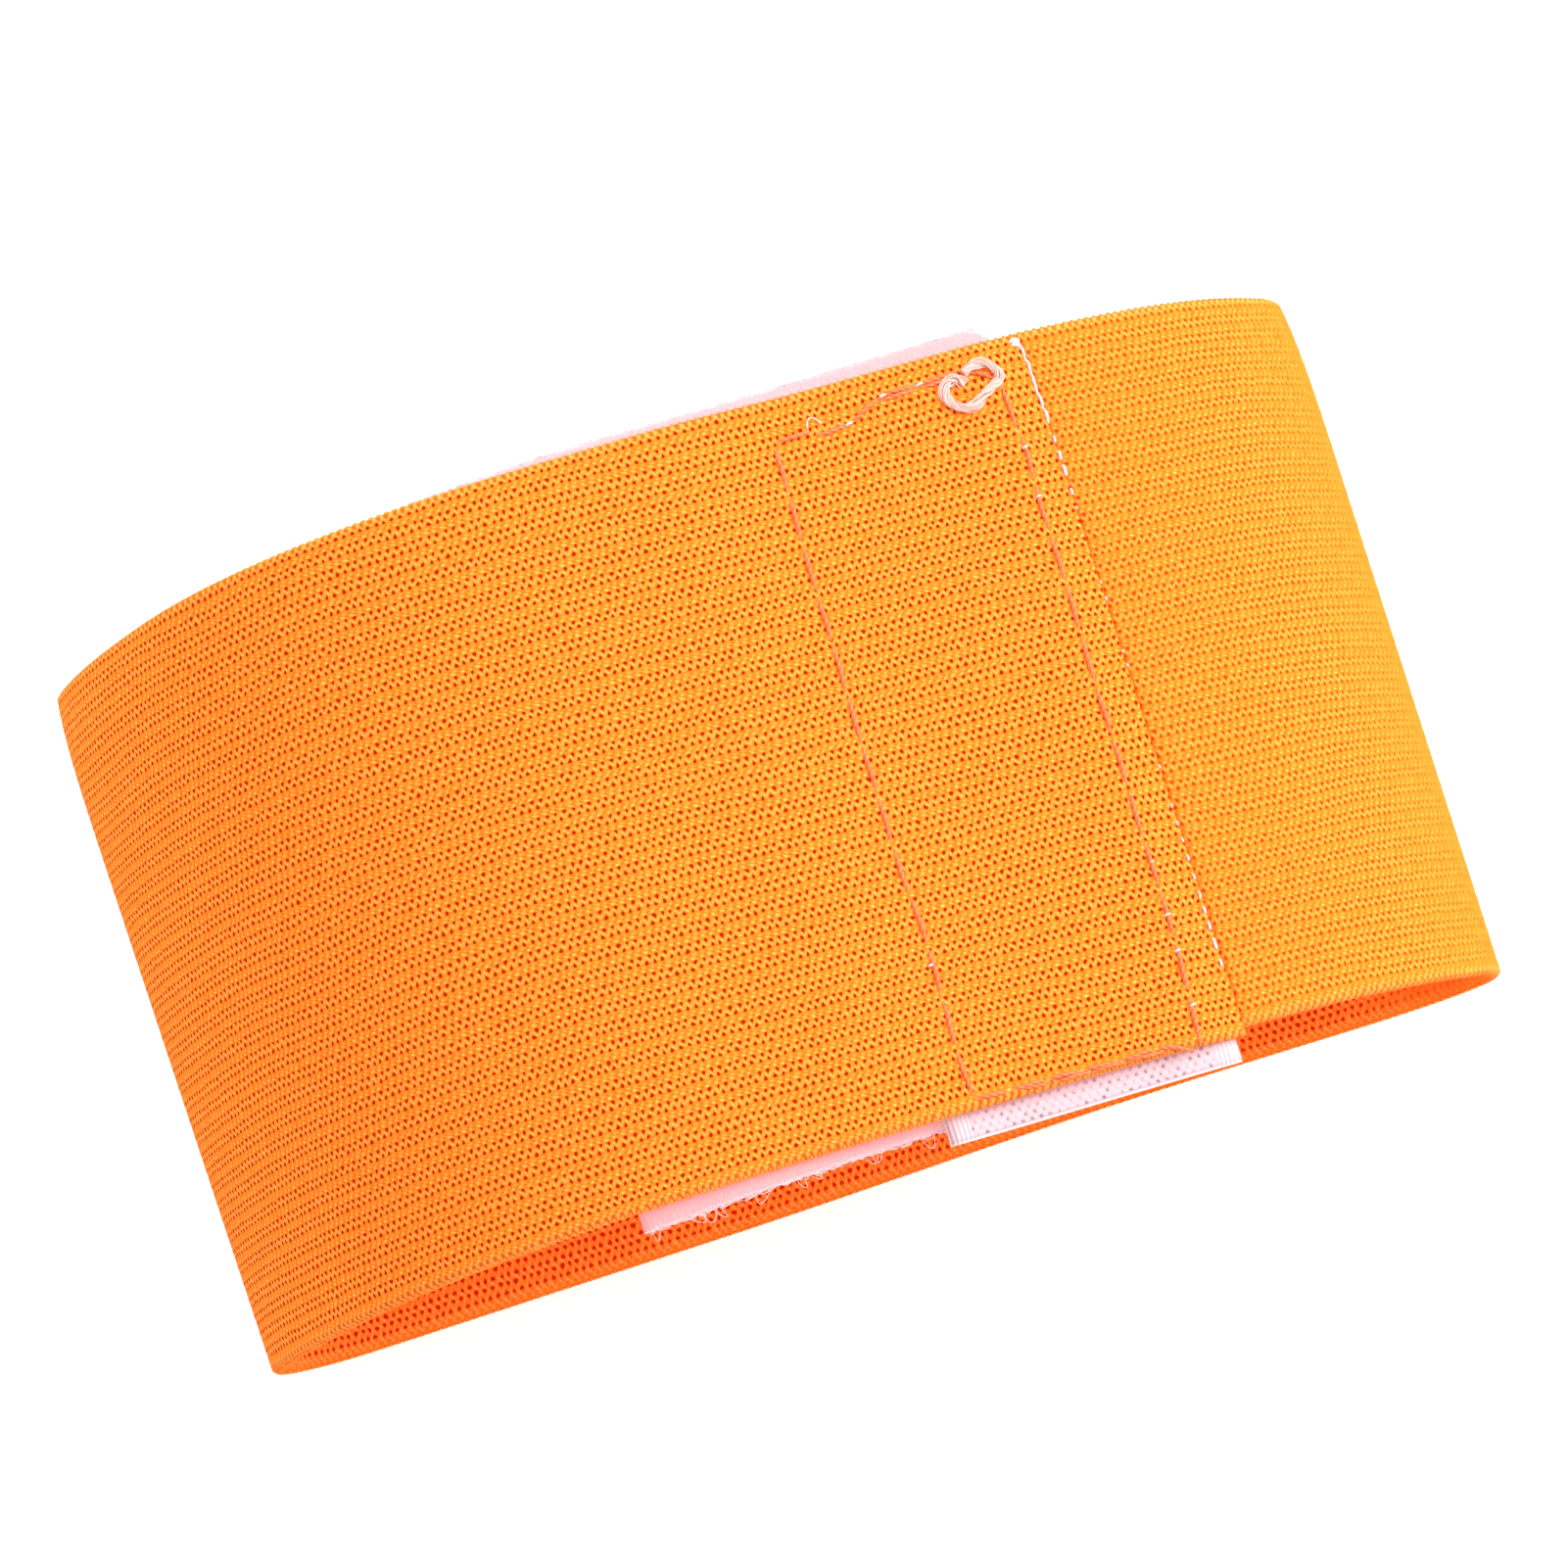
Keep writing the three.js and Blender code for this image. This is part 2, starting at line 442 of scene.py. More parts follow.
points_per_rib = 4
rib_relief = 0.012 * mm
rib_crest = 0.92
rim_inset = 0.04 * mm
face_inset = 0.3 * mm
end_rounding = 0.25 * mm
end_rounding_length = 0.2 * mm
end_flare = 0.3 * mm
end_flare_length = 9 * mm
back_bow = 0.4 * mm
back_bow_middle = 20 * mm
back_bow_reach = 36 * mm

# the stations along the strip, with more where its end is pressed and where it dives
line = stations(outer_end, inner_end, station_step, station_turn)
pressed_line = outer_end + np.array([0.2, 0.6, 1.1, 1.7, 2.4, 3.2, 4.0]) * mm
dive_line = np.linspace(under_outer_end - 2 * dive_lead, under_outer_end + 1.2 * loop_inset, 9)
line = np.sort(np.concatenate([line, pressed_line, dive_line, [inner_end - end_rounding_length]]))

# once round the strip at each station: its outer face with the ribs' relief, a rim, its inner face, a rim
face_reach = half_band - face_inset
across = np.linspace(-face_reach, face_reach, int(2 * half_band / rib_pitch * points_per_rib))
ribs_across = (half_band - across) / rib_pitch
crest = rib_relief * (np.cos(2 * math.pi * (ribs_across - rib_crest)) - 1)
from_end = np.minimum(line - outer_end, inner_end - line)
end_round = end_rounding * (1 - smooth(from_end, 0, end_rounding_length))
top = strip_height(line)[:, None] + crest - end_round[:, None]
under = (strip_height(line) - strip_thickness(line))[:, None] - crest[::-1] + end_round[:, None]
middle_height = (strip_height(line) - strip_thickness(line) / 2)[:, None]
height_ring = np.hstack([top, middle_height, under, middle_height])


def laid_across(distance, place):
    """A place across the band as it lies: shifted with its middle line, spread towards the outer end,
    and with the lower rim of the back wall bowed inwards."""
    spread = 1 + end_flare / half_band * np.exp(-(distance - outer_end) / end_flare_length)
    bow = 1 - smooth(np.abs(distance - loop_length - back_bow_middle), 0, back_bow_reach)
    return place * spread + strip_shift(distance) + back_bow * bow * np.clip(-place / half_band, 0, 1) ** 2


rim_reach = half_band - rim_inset
across_ring = np.concatenate([across, [rim_reach], across[::-1], [-rim_reach]])
ring_points = on_strip(line[:, None], height_ring, laid_across(line[:, None], across_ring[None, :]))
ring_count = across_ring.size
band_faces = grid_faces(line.size, ring_count)[:, ::-1].tolist()
half = across.size
for station, flip in ((0, False), (line.size - 1, True)):
    start = station * ring_count
    upper = np.arange(half)
    lower = 2 * half - upper
    cap = [(a, b, d, c) for a, b, c, d in zip(upper[:-1], upper[1:], lower[:-1], lower[1:])]
    cap += [(half - 1, half, lower[-1]), (2 * half + 1, 0, lower[0])]
    band_faces += [[start + i for i in (face[::-1] if flip else face)] for face in cap]

# The gaps are open on the front and a little more on the left, nearly closed where the strip faces
# right, and a little smaller from there to the outer end. Where they close, their painted shade turns
# lighter too: painted light where the strip faces the lamp on the right, as well as the stretch over the
# tip. On the inner face they are wider, but for the right tip, where they close, and the mark says that
# they are inside by ten more.
closed_and_lit_facing_right = 0.8
opened_facing_left = 0.08
closed_past_tip = 0.13
closed_inside_tip = 0.7
opened_inside = 0.4
inside_mark = 10
# where each of them sets in: shares of facing fully right or left, and places past the back's middle
facing_right_range = (0.62, 1.0)
facing_left_range = (0.3, 1.04)
past_tip_range = (52 * mm, 66 * mm)
into_tip_range = (37 * mm, 50 * mm)
out_of_tip_range = (60 * mm, 70 * mm)
facing_right = (loop_at(line + mm / 2)[:, 1] - loop_at(line - mm / 2)[:, 1]) / mm
past_back = line - loop_length
openness = 1 - closed_and_lit_facing_right * smooth(facing_right, *facing_right_range)
openness = openness + opened_facing_left * smooth(-facing_right, *facing_left_range)
openness = openness * (1 - closed_past_tip * smooth(past_back, *past_tip_range))
inside_tip = smooth(past_back, *into_tip_range) * (1 - smooth(past_back, *out_of_tip_range))
inner_face = np.concatenate([np.zeros(half + 1), np.ones(half), [0]])
inner_opening = 1 - closed_inside_tip * inside_tip[:, None] * inner_face
opening = openness[:, None] * (1 + opened_inside * inner_face) * inner_opening
stitches = (line[:, None] - outer_end) / stitch_pitch
ribs = (half_band - across_ring[None, :]) / rib_pitch
ribs_in = np.minimum(ribs, 2 * half_band / rib_pitch - ribs)
chance = np.random.default_rng(7)


def drift(first, second, cell):
    """Slow smooth noise from -0.5 to 0.5 over a grid: random numbers at the corners of square cells,
    blended inside each cell by 3t^2 - 2t^3 of both places."""
    table = chance.uniform(-0.5, 0.5, (int(first.max() / cell) + 3, int(second.max() / cell) + 3))
    row, column = (np.floor(place / cell).astype(int) for place in np.broadcast_arrays(first, second))
    down, beside = smooth(first / cell - row, 0, 1), smooth(second / cell - column, 0, 1)
    low = table[row, column] * (1 - beside) + table[row, column + 1] * beside
    high = table[row + 1, column] * (1 - beside) + table[row + 1, column + 1] * beside
    return low * (1 - down) + high * down


# The knit wanders: its stitches by up to a third of one, its ribs by a sixth, and not at the rims.
stitches_drift = 0.7 * drift(stitches, 2 * ribs, 13)
ribs_drift = 0.36 * drift(stitches, 2 * ribs, 15) * smooth(ribs_in, 0, 1.5)
band_marks = np.stack(
    np.broadcast_arrays(
        stitches + stitches_drift,
        ribs + ribs_drift,
        opening + inside_mark * inner_face,
    ),
    axis=-1,
)


def kept_marks():
    """The three numbers that a piece keeps at its points."""
    kept = Wire.node("ShaderNodeAttribute", {"attribute_name": "strip"}).outputs["Vector"]
    marks = Wire.node("ShaderNodeSeparateXYZ", None, Vector=Wire(kept))
    return [Wire(socket) for socket in marks.outputs]


# places and sizes of the gaps as shares of a rib and of a stitch
gap_row = 0.24
next_gap_row = 0.58
gap_rows_per_rib = 2.86
gap_half_width = 0.25
gap_half_height = 0.145
gap_taper = 0.9
yarn_deep = (0.97, 0.185, 0.013)
yarn_bright = (1.0, 0.24, 0.02)
# painted shade and painted highlight of the yarn, mixed in by the masks dark and light below
yarn_in_shade = (0.66, 0.13, 0.002)
yarn_in_light = (1.0, 0.58, 0.14)
# painted shade in the gaps: deep where they are open, lighter where they close and the lamp's light
# reaches in, and its own colour on the inner face
lit_gap_shade = (0.5, 0.035, 0.0)
deep_gap_shade = (0.16, 0.01, 0.0)
inside_gap_shade = (0.3, 0.012, 0.0)
# painted glow: a fixed emission stands in for light coming through the yarn, stronger in the gaps and on
# the inner face, which get less light
painted_yarn_glow = (0.07, 0.0, 0.0)
painted_yarn_glow_inside = (0.25, 0.02, 0.002)
painted_gap_glow = (0.36, 0.005, 0.0)
painted_gap_glow_inside = (0.3, 0.004, 0.0)


def knit_paint(shader):
    """Rib knit: each rib has a solid chain with a row of bright loops, then two rows of small gaps, the
    upper pointing down and the lower pointing up between them, with the yarn zigzagging from row to row.
    The mesh keeps stitches along, ribs across and how open the gaps are. The bright loops and the zigzag
    are painted highlights, with painted shade beside the loops and in the gaps, and light that comes
    through the yarn is painted on as a faint red glow."""
    along, ribs, kept_opened = kept_marks()
    inside = kept_opened.rise(inside_mark / 2 - 0.1, inside_mark / 2 + 0.1)
    opened = kept_opened - inside * inside_mark
    place = Wire(Wire.node("ShaderNodeCombineXYZ", None, X=along, Y=ribs * 2).outputs[0])
    broad = Wire.clouds(place, 0.7)
    fuzz = Wire.clouds(place, 2.6)
    counted = ribs + (broad[0] - 0.5) * 0.14
    rib = counted.floor()
    down = counted.part()
    chances = Wire.node("ShaderNodeTexWhiteNoise", {"noise_dimensions": "1D"}, W=rib)
    chances = Wire.node("ShaderNodeSeparateXYZ", None, Vector=Wire(chances.outputs["Color"]))
    chances = [Wire(socket) for socket in chances.outputs]
    columns = along + (broad[1] - 0.5) * 0.4 + chances[0] * 0.25
    column = columns.part() - 0.5
    between = (columns + 0.5).part() - 0.5
    upper_row = gap_row + (chances[1] - 0.5) * 0.05
    lower_row = next_gap_row + (chances[2] - 0.5) * 0.07 + inside * 0.15
    cell = Wire.chance(columns.floor(), rib, 4.0)

    def gap(sideways, drop, pointing, size):
        """A soft oval, wider on the side that it doesn't point to: 1 inside, 0 where the squares of its
        two shares add up to one."""
        wide = sideways / (gap_half_width - drop * (pointing * gap_taper))
        tall = drop / gap_half_height
        return 1 - (wide * wide + tall * tall).rise(size * 0.2, size)

    def blob(place, sideways, height, reach_along, reach_across):
        """A soft spot at a place along a stitch and a height in the rib."""
        beside = (columns - sideways).part() - 0.5
        return beside.hump(0, reach_along) * (place - height).hump(0, reach_across)

    # the two rows of gaps, half a stitch apart, and the yarn that zigzags between them, which carries a
    # painted highlight
    size = (opened * (0.84 + cell * 0.36)).most(0.01)
    gaps = gap(column, down - upper_row, 1.0, size).most(gap(between, down - lower_row, -1.0, size))
    to_lower = (down - upper_row) * gap_rows_per_rib
    net = 1 - abs((down - upper_row).part() * 2 - 1)
    climb = to_lower + (net - to_lower) * inside
    leg = abs(abs(column) - 0.5 * (1 - climb))
    leaning = 0.65 + column.rise(-0.1, 0.1) * 0.35
    zigzag = (1 - leg.rise(0.0, 0.2)) * down.hump(0.41, 0.34).most(inside) * leaning

    # the chain's bright loops, a painted highlight, and the painted shade beside them, and the roots of
    # the selvedge loops
    wrapped = (down + 0.5).part() - 0.5
    loops = blob(wrapped, 0.14, 0.0, 0.34, 0.11) * (0.25 + fuzz[2] * 1.1)
    loops = loops.most(blob(down, -0.1, 0.82, 0.3, 0.1) * 0.4)
    shades = blob(wrapped, 0.62, -0.03, 0.24, 0.12).most(blob(down, 0.36, 0.8, 0.22, 0.1) * 0.8)
    from_edge = ribs.least(2 * half_band / rib_pitch - ribs)
    comb = (1 - from_edge.rise(0.3, 0.5)) * (1 - inside * 0.8)
    teeth = columns.wave() * 0.5 + 0.5

    # all of it together, plainer where the gaps are nearly closed: painted highlights, painted shade mixed
    # with a random tone, the gaps' painted shade and the painted glow
    shown = opened.least(1.0)
    light = zigzag * (0.2 + fuzz[0] * 0.8) * shown + loops * (0.03 + shown * 0.95)
    light = light * (1 - comb) + comb * teeth * 0.5
    dark = shades * 0.95 * (0.2 + shown * 0.8) + (cell - 0.5) * 0.1 + (fuzz[1] - 0.6) * 0.35
    dark = dark + (1 - shown) * down.hump(0.41, 0.3) * 0.3
    plain = inside * (1 - from_edge.rise(0.55, 0.8))
    gaps = gaps * (0.1 + shown * 0.9) * (1 - comb.most(plain))
    gaps = gaps + comb * (1 - teeth) * (shown * 1.2 - 0.7).most(0.0)
    colour = Wire.mix(broad[2], yarn_deep, yarn_bright)
    colour = Wire.mix(dark, colour, yarn_in_shade)
    colour = Wire.mix(light, colour, yarn_in_light)
    # the gaps' painted shade, lighter where they close on the right flank, which faces the lamp
    gap_shade_mix = Wire.mix(shown.rise(0.74, 1.0), lit_gap_shade, deep_gap_shade)
    colour = Wire.mix(gaps, colour, Wire.mix(inside, gap_shade_mix, inside_gap_shade))
    # painted glow standing in for light through the yarn, stronger in the gaps and inside
    glow = Wire.mix(inside, painted_yarn_glow, painted_yarn_glow_inside)
    glow = Wire.mix(gaps, glow, Wire.mix(inside, painted_gap_glow, painted_gap_glow_inside))
    feed(
        shader,
        Base_Color=colour,
        Roughness=0.9,
        Specular_IOR_Level=0.03,
        Emission_Color=glow,
        Emission_Strength=1.0,
        Normal=raised(light * 0.35 - gaps * 0.65 - dark * 0.3 + 0.65, 0.22 * mm, 0.6),
    )


elastic_knit = material("elastic_knit", knit_paint)
elastic = piece("elastic", "elastic", elastic_knit, (ring_points, band_faces, band_marks))
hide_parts("elastic_band")
inner_end - outer_end


# The selvedges: at each stitch the weft yarn turns back round the edge of the elastic, so both rims are
# a close row of small loops, like the teeth of a fine comb.
turn_width = 0.41 * mm
turn_reach = 0.36 * mm
turn_yarn = 0.18 * mm
turn_inset = 0.44 * mm
turn_lean = 0.12 * mm
back_sink = 0.13 * mm
back_sink_full = 46 * mm
back_sink_end = 62 * mm


def cords(paths, facing, radii, sides):
    """Round cords along rows of points: at each point a ring of the given radius stands square to the
    path, started from the direction that the path and facing leave free. Each point keeps its length
    along, its turn round the cord, and a number of the cord's own."""
    ahead = np.gradient(paths, axis=1)
    ahead /= np.linalg.norm(ahead, axis=-1, keepdims=True)
    beside = np.cross(ahead, facing)
    beside /= np.linalg.norm(beside, axis=-1, keepdims=True)
    over = np.cross(beside, ahead)
    turn = np.arange(sides) / sides
    around = np.cos(2 * math.pi * turn)[:, None] * beside[:, :, None]
    around = around + np.sin(2 * math.pi * turn)[:, None] * over[:, :, None]
    points = paths[:, :, None] + np.broadcast_to(radii, paths.shape[:2])[..., None, None] * around
    count, rows = paths.shape[:2]
    first = np.arange(count)[:, None, None] * rows * sides
    sleeve = (grid_faces(rows, sides)[None, :, ::-1] + first).reshape(-1, 4)
    start_cap = (np.arange(sides)[None, :] + first[:, 0]).tolist()
    end_cap = (np.arange(rows * sides - 1, (rows - 1) * sides - 1, -1)[None, :] + first[:, 0]).tolist()
    steps = np.linalg.norm(np.diff(paths, axis=1), axis=-1)
    along = np.concatenate([np.zeros((count, 1)), np.cumsum(steps, axis=1)], axis=1)[..., None] / mm
    number = np.arange(count)[:, None, None]
    marks = np.stack(np.broadcast_arrays(along, turn[None, None, :], number), axis=-1)
    return points, sleeve.tolist() + start_cap + end_cap, marks


def outward(distance):
    """The loop's outward direction at a distance."""
    ahead = loop_at(distance + 0.2 * mm) - loop_at(distance - 0.2 * mm)
    out = np.stack([ahead[..., 1], np.zeros_like(ahead[..., 0]), -ahead[..., 0]], axis=-1)
    return out / np.linalg.norm(out, axis=-1, keepdims=True)


def selvedge(side):
    """Half rings round the rim on one side, one to a stitch: the place across is the cosine and the
    height the sine of a half turn, and each ring leans a little along the strip. They sink into the rim
    of the back wall, which looks smooth."""
    stitch = np.arange(outer_end + stitch_pitch / 2, inner_end, stitch_pitch)[:, None]
    turn = np.linspace(-0.5, 0.5, 7)[None, :] * math.pi
    distance = stitch + turn_lean * np.sin(turn)
    sunk = back_sink * (1 - smooth(np.abs(stitch - loop_length), back_sink_full, back_sink_end))
    place = side * (half_band - turn_inset - sunk + turn_reach * np.cos(turn))
    height = strip_height(stitch) - strip_thickness(stitch) / 2
    height = height + turn_width * strip_thickness(stitch) / elastic_thickness * np.sin(turn)
    paths = on_strip(distance, height, laid_across(distance, place))
    return cords(paths, np.cross(outward(distance), [0, side, 0]), turn_yarn, sides=5)


def yarn_paint(shader):
    """Twisted yarn: two plies wind round it, with painted shade in their grooves, and some loops are
    paler. A faint red glow is painted on.
    """
    along, turn, number = kept_marks()
    plies = (along * 2.2 + turn * 2).wave() * 0.5 + 0.5
    # painted shade in the plies' grooves
    colour = Wire.mix(plies, (0.9, 0.15, 0.012), (1.0, 0.3, 0.045))
    colour = Wire.mix(Wire.chance(number) * 0.5, colour, (1.0, 0.42, 0.09))
    feed(
        shader,
        Base_Color=colour,
        Roughness=0.85,
        Specular_IOR_Level=0.03,
        # painted glow lifting the yarn's shade
        Emission_Color=Wire.mix(plies, (0.1, 0.002, 0.0), (0.15, 0.012, 0.0)),
        Emission_Strength=1.0,
        Normal=raised(plies, 0.05 * mm),
    )


elastic_yarn = material("elastic_yarn", yarn_paint)
selvedges = piece("selvedge_loops", "elastic", elastic_yarn, selvedge(1), selvedge(-1))


# The loop tape: brushed nylon, two inches wide, sewn on the outside of the strip's inner end with its
# pile up. It is turned two degrees against the band and stands out at both rims, cut square there.
loop_tape_half = 30.9 * mm
loop_tape_shift = 0.3 * mm
loop_tape_turn = math.radians(2)
loop_tape_notch = 1.2 * mm
edge_thinned = 0.2 * mm
edge_thinned_width = 0.4 * mm
tape_step = 1.0 * mm
tape_columns = 120


def bent_tape(near, far, outer_height, low, high):
    """A thin closed strip between two distances: a ring of outer and under points at each station, from
    low to high across the loop. Near its edges it thins by 3t^2 - 2t^3 of the distance from them."""
    line = stations(near, far, tape_step, station_turn)
    share = np.linspace(0, 1, tape_columns)
    low, high = low(line)[:, None], high(line)[:, None]
    places = low + (high - low) * np.concatenate([share, share[::-1]])
    inset = np.minimum.reduce([line - near, far - line])[:, None]
    from_edge = np.minimum(places - low, high - places)
    thin = edge_thinned * (1 - smooth(np.minimum(from_edge, inset), 0, edge_thinned_width))
    half_thick = tape_thickness / 2 - thin
    sides = np.repeat([1, -1], tape_columns)
    heights = outer_height - tape_thickness / 2 + half_thick * sides
    points = on_strip(line[:, None], heights, places)
    faces = grid_faces(line.size, 2 * tape_columns)[:, ::-1].tolist()
    upper = np.arange(tape_columns)
    lower = 2 * tape_columns - 1 - upper
    for start, flip in ((0, False), ((line.size - 1) * 2 * tape_columns, True)):
        cap = [(a, b, d, c) for a, b, c, d in zip(upper[:-1], upper[1:], lower[:-1], lower[1:])]
        faces += [[start + i for i in (face[::-1] if flip else face)] for face in cap]
    marks = [(line[:, None] - near) / mm, places / mm, from_edge / mm * sides]
    return points, faces, np.stack(np.broadcast_arrays(*marks), axis=-1)


def loop_tape_edge(distance, side):
    """Where the loop tape's edge on one side lies across the band; its upper near corner is slanted."""
    middle = (loop_near + loop_far) / 2
    slant = loop_tape_notch * np.clip(1 - (distance - loop_near) / loop_tape_notch, 0, 1) * (side > 0)
    turned = loop_tape_shift - math.tan(loop_tape_turn) * (distance - middle)
    return turned + side * loop_tape_half - slant


def pile_paint(shader):
    """Brushed pile: cloudy pink nylon, paler along the cut edges, partly their fuzz and partly a painted
    highlight, with a fine fuzzy relief. An even glow is painted on to lift its shade.
    """
    from_edge = abs(kept_marks()[2])
    fuzz = Wire.cloud(Wire.place(), 5200.0, 3.0)
    tone = Wire.cloud(Wire.place(), 900.0)
    colour = Wire.mix(fuzz * 0.5 + tone * 0.5, (0.9, 0.27, 0.31), (0.98, 0.38, 0.41))
    # paler cut edges: partly their fuzz, partly a painted highlight
    colour = Wire.mix((1 - from_edge.rise(0.08, 0.3)) * 0.75, colour, (0.94, 0.55, 0.59))
    feed(
        shader,
        Base_Color=colour,
        Roughness=0.9,
        Specular_IOR_Level=0.2,
        # painted glow that lifts the pile's shade
        Emission_Color=Wire.mix(tone, (0.18, 0.18, 0.17), (0.22, 0.22, 0.21)),
        Emission_Strength=1.0,
        Normal=raised(fuzz, 0.25 * mm),
    )


pile = material("loop_pile", pile_paint)
loop_cloth = bent_tape(
    loop_near,
    loop_far,
    -loop_depth,
    lambda distance: loop_tape_edge(distance, -1),
    lambda distance: loop_tape_edge(distance, 1),
)
loop_tape = piece("loop_tape_cloth", "loop_tape", pile, loop_cloth)
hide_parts("loop_tape")

# Its pile: fine nylon loops that stand up and hang out along both rims, most of them on the lower one.
fibre = 0.028 * mm
stray_count = 420
short_stray = 0.35 * mm
long_stray = 1.3 * mm
upper_stray = 0.2 * mm


def pile_loops(side, count, longest):
    """Stray loops along one rim: each is half an ellipse of random width and reach, tilted at random,
    from the tape's upper edge outwards."""
    root = chance.uniform(loop_near + 0.5 * mm, loop_far - 0.3 * mm, (count, 1))
    width = chance.uniform(0.15, 0.6, (count, 1)) * mm
    reach = longest * chance.uniform(0.25, 1, (count, 1)) ** 2
    lean = chance.uniform(-0.6, 0.6, (count, 1)) * mm
    lift = chance.uniform(-0.5, 0.5, (count, 1))
    turn = np.linspace(0, math.pi, 8)[None, :]
    distance = root + width * np.cos(turn) + lean * np.sin(turn) ** 2
    edge = loop_tape_edge(np.clip(distance, loop_near, loop_far), side)
    place = edge - side * 0.1 * mm + side * reach * np.sin(turn)
    root_depth = loop_depth + tape_thickness * chance.uniform(0.1, 0.8, (count, 1))
    height = lift * reach * np.sin(turn) - root_depth
    return cords(on_strip(distance, height, place), outward(distance), fibre, sides=3)


def nylon_paint(shader):
    """Smooth nylon fibres, each in a pink of its own."""
    colour = Wire.mix(Wire.chance(kept_marks()[2]), (0.95, 0.62, 0.66), (1.0, 0.86, 0.88))
    feed(shader, Base_Color=colour, Roughness=0.5)


nylon = material("nylon_fibre", nylon_paint)
pile_fringe = piece(
    "pile_fringe",
    "loop_tape",
    nylon,
    pile_loops(-1, stray_count, short_stray),
    pile_loops(-1, stray_count // 10, long_stray),
    pile_loops(1, stray_count, upper_stray),
)


# The hook tape: woven nylon, one inch wide, sewn inside the strip's outer end with its hooks down. Its
# white woven back shows below the lower rim, with a plain selvedge at each side.
hook_tape_half = 31 * mm
hook_tape_shift = -1.1 * mm
hook_selvedge = 1.9 * mm
pit_pitch = 0.78 * mm
pit_rows = 0.5 * mm


def weave_paint(shader):
    """Woven back: rows of small pits, every other row moved half a pitch, with painted rose shade in them,
    and plain fine lines along the selvedges. An even glow is painted on to lift its shade, fainter in the
    pits."""
    along, across, edge = kept_marks()
    fuzz = Wire.cloud(Wire.place(), 4000.0, 3.0)
    pit_along, pit_across = along / (pit_pitch / mm), across / (pit_rows / mm)
    moved = pit_along + pit_across.floor() * 0.5 + (fuzz - 0.5) * 0.5
    each = Wire.chance(moved.floor(), pit_across.floor())
    pits = (moved.part() - 0.5).hump(0, 0.34) * (pit_across.part() - 0.5).hump(0, 0.5)
    inner = along.rise(hook_selvedge / mm, hook_selvedge / mm + 0.2)
    inner = inner * (hook_width / mm - along).rise(hook_selvedge / mm, hook_selvedge / mm + 0.2)
    pits = pits * inner * (0.25 + each * 0.9) * abs(edge).rise(0.15, 0.35)
    grooves = (along * 2.6).wave() * 0.5 + 0.5
    rows = (pit_across + 0.5).wave() * 0.5 + 0.5
    colour = Wire.mix(fuzz, (0.62, 0.38, 0.43), (0.7, 0.45, 0.5))
    colour = Wire.mix((1 - inner) * grooves * 0.6, colour, (0.78, 0.6, 0.64))
    colour = Wire.mix(rows * inner * 0.3, colour, (0.76, 0.57, 0.6))
    # painted shade in the pits
    colour = Wire.mix(pits * 0.85, colour, (0.3, 0.15, 0.2))
    colour = Wire.mix((1 - abs(edge).rise(0.05, 0.2)) * 0.8, colour, (0.86, 0.74, 0.77))
    feed(
        shader,
        Base_Color=colour,
        Roughness=0.6,
        Specular_IOR_Level=0.3,
        # painted glow that lifts the tape's shade
        Emission_Color=Wire.mix(pits, (0.12, 0.12, 0.12), (0.06, 0.03, 0.04)),
        Emission_Strength=1.0,
        Normal=raised(0.6 + (1 - inner) * grooves * 0.3 - pits * 0.6 - rows * 0.15, 0.15 * mm),
    )


weave = material("hook_weave", weave_paint)
hook_cloth = bent_tape(
    hook_near,
    hook_far,
    hook_lift - loop_depth,
    lambda distance: np.full_like(distance, hook_tape_shift - hook_tape_half),
    lambda distance: np.full_like(distance, hook_tape_shift + hook_tape_half),
)
hook_tape = piece("hook_tape_cloth", "hook_tape", weave, hook_cloth)
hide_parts("hook_tape")

# Its hooks: stiff bent bristles on the free strip under the lower rim, where no pile hides them. Each
# goes down by the sine of three eighths of a turn, and sways to one side by the sine of a half turn.
hook_pitch = 0.8 * mm
hook_height = 0.26 * mm
bristle = 0.05 * mm
hook_rows = 3
hook_row_pitch = 0.62 * mm
hook_row_inset = 0.45 * mm
hook_sway = 0.16 * mm
hook_reach = 0.2 * mm
hook_line = np.arange(hook_near + hook_selvedge, hook_far - hook_selvedge, hook_pitch)
hook_turn = np.linspace(0, 1, 7)
hook_root, hook_row = (grid.reshape(-1, 1) for grid in np.meshgrid(hook_line, np.arange(hook_rows)))
hook_place = hook_tape_shift - hook_tape_half + hook_row_inset + hook_row * hook_row_pitch
hook_place = hook_place + hook_sway * np.sin(math.pi * hook_turn) * np.where(hook_row % 2, 1, -1)
hook_drop = hook_height * np.sin(0.75 * math.pi * hook_turn)
hook_top = hook_lift - loop_depth - tape_thickness + bristle
hook_paths = on_strip(hook_root + hook_reach * hook_turn, hook_top - hook_drop, hook_place)
bristles = cords(hook_paths, outward(hook_root), bristle, sides=4)
hooks = piece("hook_bristles", "hook_tape", nylon, bristles)


# The closure's seams: the hook tape is sewn on round its four sides with salmon thread. White under
# thread is drawn up at a few needle holes, and parts of the upper and the lower side are sewn twice.
salmon_radius = 0.19 * mm
seam_stitch_down = 4.2 * mm
seam_stitch_along = 3.2 * mm
seam_step = 0.16 * mm
seam_wander = 0.05 * mm
stitch_rise = 1.6
stitch_sink = 1.15

